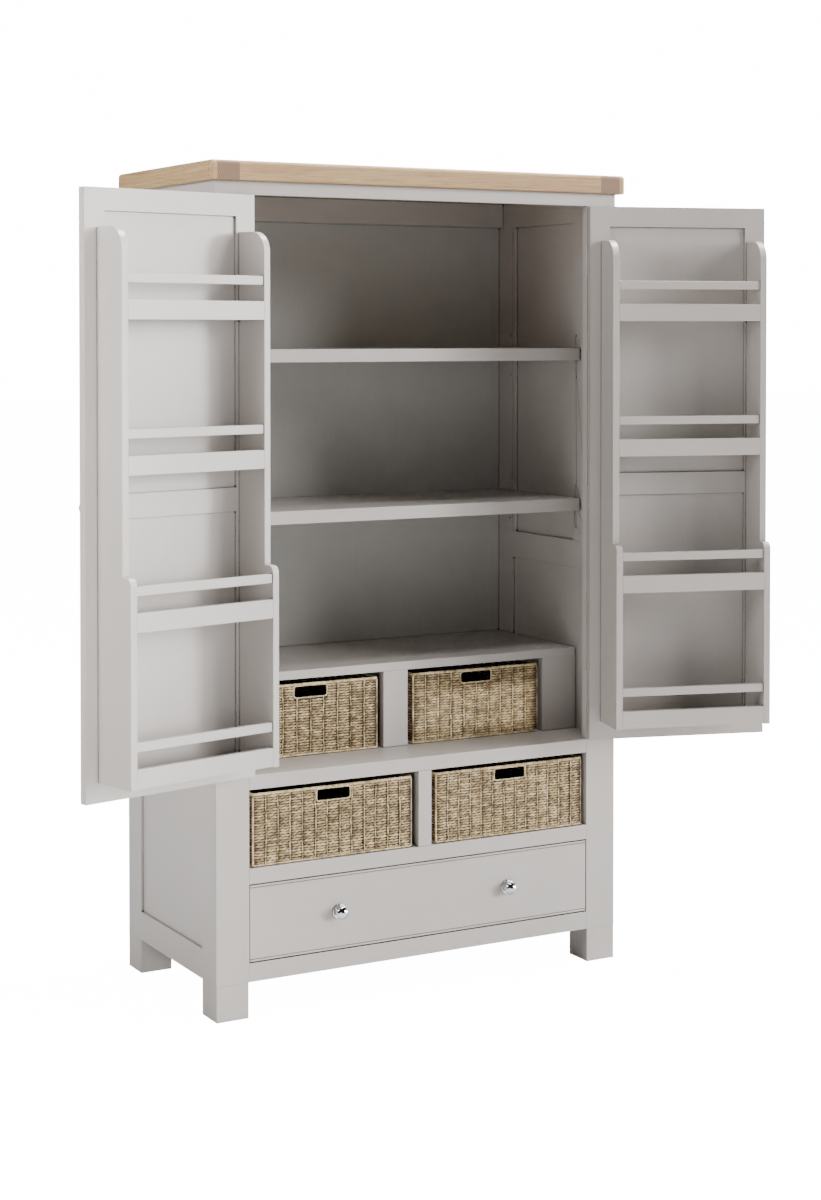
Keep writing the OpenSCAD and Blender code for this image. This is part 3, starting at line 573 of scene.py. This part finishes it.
def round_loop(w, d, r, front_step, step, back_step=None):
    """Points and outward normals round a rounded rectangle, starting in the middle of its front, with
    the front edge on y = 0. Returns x, y, nx, ny and the distance along it."""
    hw = w / 2
    parts = []

    def line(x0, y0, x1, y1, nx, ny, gap):
        n = max(int(math.hypot(x1 - x0, y1 - y0) / gap), 1)
        t = np.arange(n) / n
        parts.append(vectors(x0 + (x1 - x0) * t, y0 + (y1 - y0) * t, nx, ny))

    def arc(cx, cy, a0):
        a = math.radians(a0) + np.arange(5) / 5 * math.pi / 2
        parts.append(vectors(cx + r * np.cos(a), cy + r * np.sin(a), np.cos(a), np.sin(a)))

    line(0, 0, hw - r, 0, 0, -1, front_step)
    arc(hw - r, r, -90)
    line(hw, r, hw, d - r, 1, 0, step)
    arc(hw - r, d - r, 0)
    line(hw - r, d, -hw + r, d, 0, 1, back_step or step)
    arc(-hw + r, d - r, 90)
    line(-hw, d - r, -hw, r, -1, 0, step)
    arc(-hw + r, r, 180)
    line(-hw + r, 0, 0, 0, 0, -1, front_step)
    p = np.concatenate(parts)
    s = np.concatenate([[0], np.cumsum(np.hypot(*np.diff(p[:, :2], axis=0).T))])
    return p, s


def wall_loop(w, d, inset, *steps):
    """The loop round a basket's walls, at some way in from their outer faces."""
    p, s = round_loop(w - 2 * inset, d - 2 * inset, CORNER_R - inset, *steps)
    p[:, 1] += inset
    return p, s


def round_the_slot(p, s):
    """The order of the points in a row that the slot cuts: from one side of the slot round to the other."""
    in_slot = (np.abs(p[:, 0]) < SLOT_W / 2 + 0.0015) & (p[:, 1] < 0.02)
    last = int(np.nonzero(in_slot & (s < s[-1] / 2))[0].max())
    order = np.roll(np.arange(len(s)), -last - 1)
    return order[~in_slot[order]]


def stakes_round(w, d, r, spacing):
    """Where the upright cords stand, as distances along the loop: those on its sides and those at its
    corners. Also returns the loop's length."""
    quarter = math.pi / 2 * r
    front, side = w - 2 * r, d - 2 * r
    edges = [(-front / 2, front), (front / 2 + quarter, side), (front / 2 + 2 * quarter + side, front),
             (front / 2 + 3 * quarter + side + front, side)]
    places, corners = [], []
    for start, length in edges:
        n = max(round((length + r) / spacing), 2)
        places += [start - quarter / 2 + (length + quarter) * k / n for k in range(1, n)]
        corners.append(start - quarter / 2)
    total = 2 * (front + side) + 4 * quarter
    return np.array(places) % total, np.array(corners) % total, total


def weave(w, d, h, spacing, seed):
    """The rows of twisted seagrass that make the four walls."""
    rng = np.random.default_rng(seed)
    strands = Strands()
    inset = ROW_INSET
    p, s = wall_loop(w, d, inset, 0.0023, 0.0045, 0.005)
    places, corners, total = stakes_round(w - 2 * inset, d - 2 * inset, CORNER_R - inset, spacing)

    def near(stakes, width):
        """1 at a stake, falling to 0 at a few widths from it."""
        gap = np.abs((s[:, None] - stakes[None, :] + total / 2) % total - total / 2).min(1)
        return np.exp(-(gap / width) ** 2)

    # the rows are thinner and drawn in where an upright cord crosses them, and darker there with painted
    # shade
    pinch = np.maximum(near(places, 0.0045), near(corners, 0.0085))
    z0, z1 = ROWS_LOW, h - ROWS_TOP
    rows = round((z1 - z0) / ROW_PITCH)
    pitch = (z1 - z0) / rows
    slot_low, slot_high = h - SLOT_TOP - SLOT_H, h - SLOT_TOP
    sag = wander(s, 0.11, rng) * 0.0008
    bunch = wander(s, 0.045, rng)
    for i in range(rows):
        bunch = 0.7 * bunch + 0.75 * wander(s, 0.019, rng)
        level = z0 + (i + 0.5) * pitch
        z = level + sag * math.sin(math.pi * (i + 0.5) / rows) + 0.0006 * bunch * (1 - 0.6 * pinch)
        dip = (0.0017 if i % 2 else 0.0010) * pinch
        off = 0.0005 * wander(s, 0.014, rng) - dip
        centre = vectors(p[:, 0] + p[:, 2] * off, p[:, 1] + p[:, 3] * off, z)
        out = vectors(p[:, 2], p[:, 3], 0.0)
        radius = ROW_R * (1.0 + 0.15 * wander(s, 0.013, rng)) * (1 - 0.38 * pinch)
        # each row's own random tone, less painted shade beside the uprights
        tone = (0.72 + 0.06 * rng.uniform(-1, 1) + 0.17 * wander(s, 0.016, rng) + 0.14 * wander(s, 0.006, rng)
                - 0.26 * pinch)
        closed = not slot_low - 0.002 < level < slot_high + 0.001
        order = np.arange(len(s)) if closed else round_the_slot(p, s)
        strands.add(centre[order], out[order], UP, radius[order], tone[order], closed=closed,
                    phase=rng.uniform(0, 6.28))
    return strands


def uprights(w, d, h, spacing, seed):
    """The light cords that cross the rows, and the thicker ones up the corners."""
    rng = np.random.default_rng(seed + 50)
    strands = Strands()
    inset = STAKE_INSET
    places, corners = stakes_round(w - 2 * inset, d - 2 * inset, CORNER_R - inset, spacing)[:2]
    p, s = wall_loop(w, d, inset, 0.002, 0.002)
    for at in places:
        x, y, nx, ny = p[np.argmin(np.abs(s - at))]
        under_slot = ny < -0.5 and abs(x) < SLOT_W / 2 + 0.004
        top = h - SLOT_TOP - SLOT_H - 0.002 if under_slot else h - 0.006
        z = np.linspace(0.003, top, int(top / 0.0021))
        # a cord strays sideways as it goes up, and beats in and out over the rows
        shift = 0.0018 * wander(z, 0.06, rng) + 0.0006 * wander(z, 0.009, rng)
        beat = 0.0006 * np.cos(math.pi * z / ROW_PITCH) + 0.0005 * wander(z, 0.02, rng) - 0.0004
        centre = vectors(x - ny * shift + nx * beat, y + nx * shift + ny * beat, z)
        radius = STAKE_R * (1 + 0.30 * wander(z, 0.007, rng))
        tone = 0.60 + 0.16 * wander(z, 0.06, rng) + 0.34 * wander(z, 0.0065, rng)
        strands.add(centre, (nx, ny, 0.0), (ny, -nx, 0.0), radius, tone, twist=0.012, groove_shade=0.25, shade=0.15)
    for at in corners:
        x, y, nx, ny = p[np.argmin(np.abs(s - at))]
        z = np.arange(0.003, h - 0.005, 0.002)
        tone = 0.58 + 0.2 * wander(z, 0.03, rng) + 0.2 * wander(z, 0.007, rng)
        strands.add(vectors(x, y, z), (nx, ny, 0.0), (ny, -nx, 0.0), CORNER_STAKE_R, tone, section=THREE_PLY,
                    twist=0.020)
    return strands


def borders(w, d, h, seed):
    """The plaited rim, the cord along the foot and the one round the finger slot."""
    rng = np.random.default_rng(seed + 90)
    strands = Strands()
    for r, z, twist, inset in ((RIM_R, h - RIM_R * 1.2, 0.019, RIM_R * 1.15),
                               (BORDER_R, BORDER_R * 1.2, 0.017, BORDER_R * 1.3)):
        p, s = wall_loop(w, d, inset, 0.0022, 0.0026)
        centre = vectors(p[:, 0], p[:, 1], z + 0.0003 * wander(s, 0.05, rng))
        out = vectors(p[:, 2], p[:, 3], 0.0)
        tone = 0.60 + 0.15 * wander(s, 0.03, rng) + 0.2 * wander(s, 0.007, rng)
        strands.add(centre, out, UP, r, tone, section=THREE_PLY, twist=twist, closed=True, shade=0.1)
    sr = SLOT_CORD_R
    p, s = round_loop(SLOT_W + sr, SLOT_H + sr, 0.006, 0.0016, 0.0016)
    centre = vectors(p[:, 0], 0.0026, p[:, 1] - sr / 2 + h - SLOT_TOP - SLOT_H)
    out = vectors(p[:, 2], 0.0, p[:, 3])
    tone = 0.66 + 0.1 * wander(s, 0.02, rng) + 0.2 * wander(s, 0.006, rng)
    strands.add(centre, out, (0.0, 1.0, 0.0), sr, tone, twist=0.013, closed=True, shade=0.1)
    return strands


def floor_weave(w, d, seed):
    """The basket's floor: rows from side to side, which rise and fall as if over cords from front to back."""
    rng = np.random.default_rng(seed + 130)
    strands = Strands()
    edge = 0.006
    rows = int((d - 2 * edge) / ROW_PITCH)
    x = np.linspace(-w / 2 + edge, w / 2 - edge, int((w - 2 * edge) / 0.008))
    for i in range(rows):
        y = edge + (i + 0.5) * (d - 2 * edge) / rows
        z = 0.0046 + 0.0007 * np.cos(math.pi * (x / 0.035 + i)) + 0.0002 * wander(x, 0.04, rng)
        centre = vectors(x, y + 0.0003 * wander(x, 0.05, rng), z)
        tone = 0.6 + 0.1 * rng.uniform(-1, 1) + 0.25 * wander(x, 0.02, rng)
        strands.add(centre, (0.0, -1.0, 0.0), UP, ROW_R * 0.97, tone)
    return strands


def shade_sheet_walls(name, w, d, h):
    """The thin dark sheet in the middle of the walls and floor, open at the slot: painted shade that shows
    between the rows.
    """
    bm = bmesh.new()
    a, t = SHADE_SHEET_INSET, SHADE_SHEET_THICK
    slot_low, slot_high = h - SLOT_TOP - SLOT_H - SHADE_SHEET_GAP, h - SLOT_TOP + SHADE_SHEET_GAP
    top, foot = h - 0.0045, 0.0030
    hw, hs = w / 2 - a, SLOT_W / 2 + SHADE_SHEET_GAP

    def slab(x0, y0, z0, x1, y1, z1):
        v = [bm.verts.new((x, y, z)) for z in (z0, z1) for y in (y0, y1) for x in (x0, x1)]
        for f in ((0, 2, 3, 1), (4, 5, 7, 6), (0, 1, 5, 4), (2, 6, 7, 3), (0, 4, 6, 2), (1, 3, 7, 5)):
            bm.faces.new([v[k] for k in f])

    slab(-hw, a, foot, -hs, a + t, top)
    slab(hs, a, foot, hw, a + t, top)
    slab(-hs, a, foot, hs, a + t, slot_low)
    slab(-hs, a, slot_high, hs, a + t, top)
    slab(-hw, d - a - t, foot, hw, d - a, top)
    slab(-hw, a + t, foot, -hw + t, d - a - t, top)
    slab(hw - t, a + t, foot, hw, d - a - t, top)
    slab(-hw + t, a + t, foot, hw - t, d - a - t, foot + t)
    me = bpy.data.meshes.new(name)
    bm.to_mesh(me)
    bm.free()
    return me


def add_basket(node, body, spacing, seed):
    """Builds one basket where its CAD solid stands."""
    low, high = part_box(node)
    w, d, h = high.x - low.x, high.y - low.y, high.z - low.z
    place = ((low.x + high.x) / 2, low.y, low.z)
    parts = (("weave", weave(w, d, h, spacing, seed), SEAGRASS),
             ("uprights", uprights(w, d, h, spacing, seed), SEAGRASS_LIGHT),
             ("borders", borders(w, d, h, seed), SEAGRASS_LIGHT),
             ("floor", floor_weave(w, d, seed), SEAGRASS),
             # the near-black sheet is painted shade between the rows
             ("shade_sheet", None, BASKET_SHADE_SHEET))
    for part, strands, mat in parts:
        name = f"{body}_{part}"
        mesh = strands.mesh(name) if strands else shade_sheet_walls(name, w, d, h)
        mesh.materials.append(mat)
        obj = bpy.data.objects.new(name, mesh)
        obj.location = place
        bpy.context.scene.collection.objects.link(obj)
        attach(obj, body)
        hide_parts(node)


# ---------- Knobs ----------

# How far above the door the head starts, and the radii of its dome and of the curve under it
HEAD_LOW = 0.012
HEAD_R = 0.017
HEAD_UNDER_R = 0.022


def turned_profile():
    """The knob's outline, as pairs of height above the door and radius, from the foot to the dome's tip."""
    foot = [(0.0, 0.0), (0.0, 0.0170), (0.0022, 0.0170), (0.0027, 0.0168), (0.0030, 0.0163), (0.0031, 0.0150)]
    neck = [(0.0033, 0.0100), (0.0038, 0.0078), (0.0048, 0.0068), (0.0066, 0.0064), (0.0090, 0.0064),
            (0.0112, 0.0068), (0.0122, 0.0078)]
    under = [(HEAD_LOW + h, math.sqrt(HEAD_UNDER_R ** 2 - (HEAD_UNDER_R - h) ** 2))
             for h in (0.0018, 0.0026, 0.0034, 0.0042, 0.0050)]
    rim = [(0.0180, 0.01475), (0.0190, 0.01515), (0.0199, 0.01508)]
    dome = [(HEAD_LOW + HEAD_R * math.cos(a), HEAD_R * math.sin(a))
            for a in (math.radians(60 - 4 * k) for k in range(15))]
    return foot + neck + under + rim + dome + [(HEAD_LOW + HEAD_R, 0.0)]


def add_knob(name, body, node, at, axis):
    """A lathe-turned knob standing at a point and pointing along axis."""
    bm = bmesh.new()
    sides = 72
    rings = []
    for height, radius in turned_profile():
        if radius == 0:
            rings.append([bm.verts.new((0, 0, height))])
        else:
            rings.append([bm.verts.new((radius * math.cos(a), radius * math.sin(a), height))
                          for a in (2 * math.pi * k / sides for k in range(sides))])
    for low, high in zip(rings, rings[1:]):
        for k in range(sides):
            after = k + 1
            quad = (low[k % len(low)], low[after % len(low)], high[after % len(high)], high[k % len(high)])
            # at the foot's middle and the dome's tip a ring is one point, and the quad a triangle
            bm.faces.new(list(dict.fromkeys(quad)))
    bmesh.ops.recalc_face_normals(bm, faces=bm.faces)
    for face in bm.faces:
        face.smooth = True
    mesh = bpy.data.meshes.new(name)
    bm.to_mesh(mesh)
    bm.free()
    knob = bpy.data.objects.new(name, mesh)
    knob.location = at
    knob.rotation_euler = Vector(axis).to_track_quat("Z", "Y").to_euler()
    bpy.context.scene.collection.objects.link(knob)
    mesh.materials.append(CHROME)
    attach(knob, body)
    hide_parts(node)


def knob_foot(node, axis, side=None):
    """The middle of a CAD knob's foot. side picks the knobs left (-1) or right (1) of the middle."""
    points = np.array([v.co for v in NODES[node].data.vertices])
    if side:
        points = points[(points[:, 0] - CAB_X) * side > 0]
    axis = np.array(axis)
    across = np.cross(axis, (0, 0, 1))
    along, sideways, z = points @ axis, points @ across, points[:, 2]
    foot = axis * along.min() + across * (sideways.min() + sideways.max()) / 2
    return foot + (0, 0, (z.min() + z.max()) / 2)


# ---------- Dressing the CAD nodes ----------

def soften(node, width):
    """Breaks the sharp edges of a CAD node, without touching its own mesh."""
    obj = NODES[node]
    old = obj.data.attributes.get("custom_normal")
    if old:
        obj.data.attributes.remove(old)
    obj.data.polygons.foreach_set("use_smooth", [False] * len(obj.data.polygons))
    weld = obj.modifiers.new("weld", "WELD")
    weld.merge_threshold = 1e-5
    bevel = obj.modifiers.new("arris", "BEVEL")
    bevel.width = width
    bevel.segments = 2
    bevel.limit_method = "ANGLE"
    bevel.angle_limit = math.radians(40)
    bevel.harden_normals = False
    bevel.use_clamp_overlap = True


CHROME = chrome()
STEEL = steel()
PAINT_X = painted("paint_x", "x")
PAINT_Y = painted("paint_y", "y")
PAINT_Z = painted("paint_z", "z")
# the back panel's copy is cooler, its tint painted shade: the cool cast of the cabinet's shaded inside
PAINT_BACK_SHADED = painted("paint_back_shaded", "z", tint=(0.93, 0.99, 1.0))
PAINT_LEFT = painted("paint_left", "x", -LEFT_DOOR_TURN)
PAINT_RIGHT = painted("paint_right", "x", -RIGHT_DOOR_TURN)
OAK_TOP = oak("oak_top", "x", (0, 0.11, -1.93), stave=0.136)
OAK_LEFT = oak("oak_left", "y", (0.440, 0, -1.835), cut_ends=True)
OAK_RIGHT = oak("oak_right", "y", (-0.440, 0, -1.840), cut_ends=True)
DRAWER_WOOD = oak("drawer_wood", "y", (0.2, 0, -0.6))
SEAGRASS = seagrass("seagrass", [(0.0, (0.028, 0.015, 0.005)), (0.25, (0.120, 0.076, 0.030)),
                                 (0.55, (0.385, 0.272, 0.126)), (0.90, (0.790, 0.640, 0.370))],
                    (0.60, 0.44, 0.42), (0.46, 0.50, 0.34))
SEAGRASS_LIGHT = seagrass("seagrass_light", [(0.0, (0.100, 0.062, 0.026)), (0.25, (0.310, 0.220, 0.102)),
                                             (0.55, (0.640, 0.505, 0.280)), (0.90, (0.860, 0.745, 0.490))],
                          (0.58, 0.47, 0.44), (0.50, 0.50, 0.42))
BASKET_SHADE_SHEET = basket_shade_sheet()

# Which way the boards run in nodes that aren't upright
ACROSS = {"face_rail_top", "face_rail_deck", "face_rail_drawer", "face_rail_bottom", "deck_board",
          "basket_floor", "bottom_board", "back_top_rail", "unit_top", "shelf_upper", "shelf_lower",
          "drawer_front"}
DEEP = {"basket_guides", "unit_sides", "unit_divider", "basket_divider"}
WOODEN = {"drawer_sides", "drawer_back", "drawer_bottom"}
METAL = {"shelf_pins", "hinge_pins", "door_magnets", "drawer_runners", "strike_disc_left",
         "strike_disc_right"}
HINGES = {"frame_hinge_leaves", "door_hinge_leaves_left", "door_hinge_leaves_right"}
OAK_BOARDS = {"top_board": OAK_TOP, "top_end_left": OAK_LEFT, "top_end_right": OAK_RIGHT}
# Each basket's node, with its body, how far apart its upright cords stand, and the seed of its weave
BASKETS = {
    "basket_upper_left": ("upper_left_basket", 0.0358, 11),
    "basket_upper_right": ("upper_right_basket", 0.0358, 12),
    "basket_lower_left": ("lower_left_basket", 0.0317, 13),
    "basket_lower_right": ("lower_right_basket", 0.0317, 14),
}
PAINTED_EDGE = 0.0012
DRAWER_EDGE = 0.0006


def paint_for(name):
    """The paint whose brush lines run along a node's boards."""
    if name in ACROSS:
        return PAINT_X
    if name in DEEP:
        return PAINT_Y
    # the cooler copy, its tint painted shade
    if name == "back_panel":
        return PAINT_BACK_SHADED
    if name in ("rack_shelves_left", "rack_rails_left"):
        return PAINT_LEFT
    if name in ("rack_shelves_right", "rack_rails_right"):
        return PAINT_RIGHT
    return PAINT_Z


def finish_for(name):
    """A CAD node's material, a name for its finish, and how far its sharp edges are rounded."""
    if name in BASKETS or "knob" in name:
        return CHROME, "chrome", 0  # never seen: a woven basket or a turned knob stands in for it
    if name in OAK_BOARDS:
        return OAK_BOARDS[name], "oak", 0
    if name in WOODEN:
        return DRAWER_WOOD, "drawer_wood", DRAWER_EDGE
    if name in METAL:
        return STEEL, "steel", 0
    if name in HINGES:
        return PAINT_Z, "painted_hinge", 0
    return paint_for(name), "painted_wood", PAINTED_EDGE


for name, obj in NODES.items():
    mat, slot, edge = finish_for(name)
    if edge:
        soften(name, edge)
    dress(obj, mat)

for node, (body, spacing, seed) in BASKETS.items():
    add_basket(node, body, spacing, seed)

for side, sign in (("left", -1), ("right", 1)):
    axis = (0, -1, 0)
    foot = knob_foot("drawer_knobs", axis, sign)
    add_knob(f"drawer_turned_knob_{side}", "drawer", "drawer_knobs", foot, axis)
for side, turn in (("left", LEFT_DOOR_TURN), ("right", RIGHT_DOOR_TURN)):
    node = f"door_knob_{side}"
    axis = (-math.sin(math.radians(turn)), math.cos(math.radians(turn)), 0)
    add_knob(f"door_turned_knob_{side}", f"{side}_door", node, knob_foot(node, axis), axis)

add_camera()
add_floor()
add_lights()
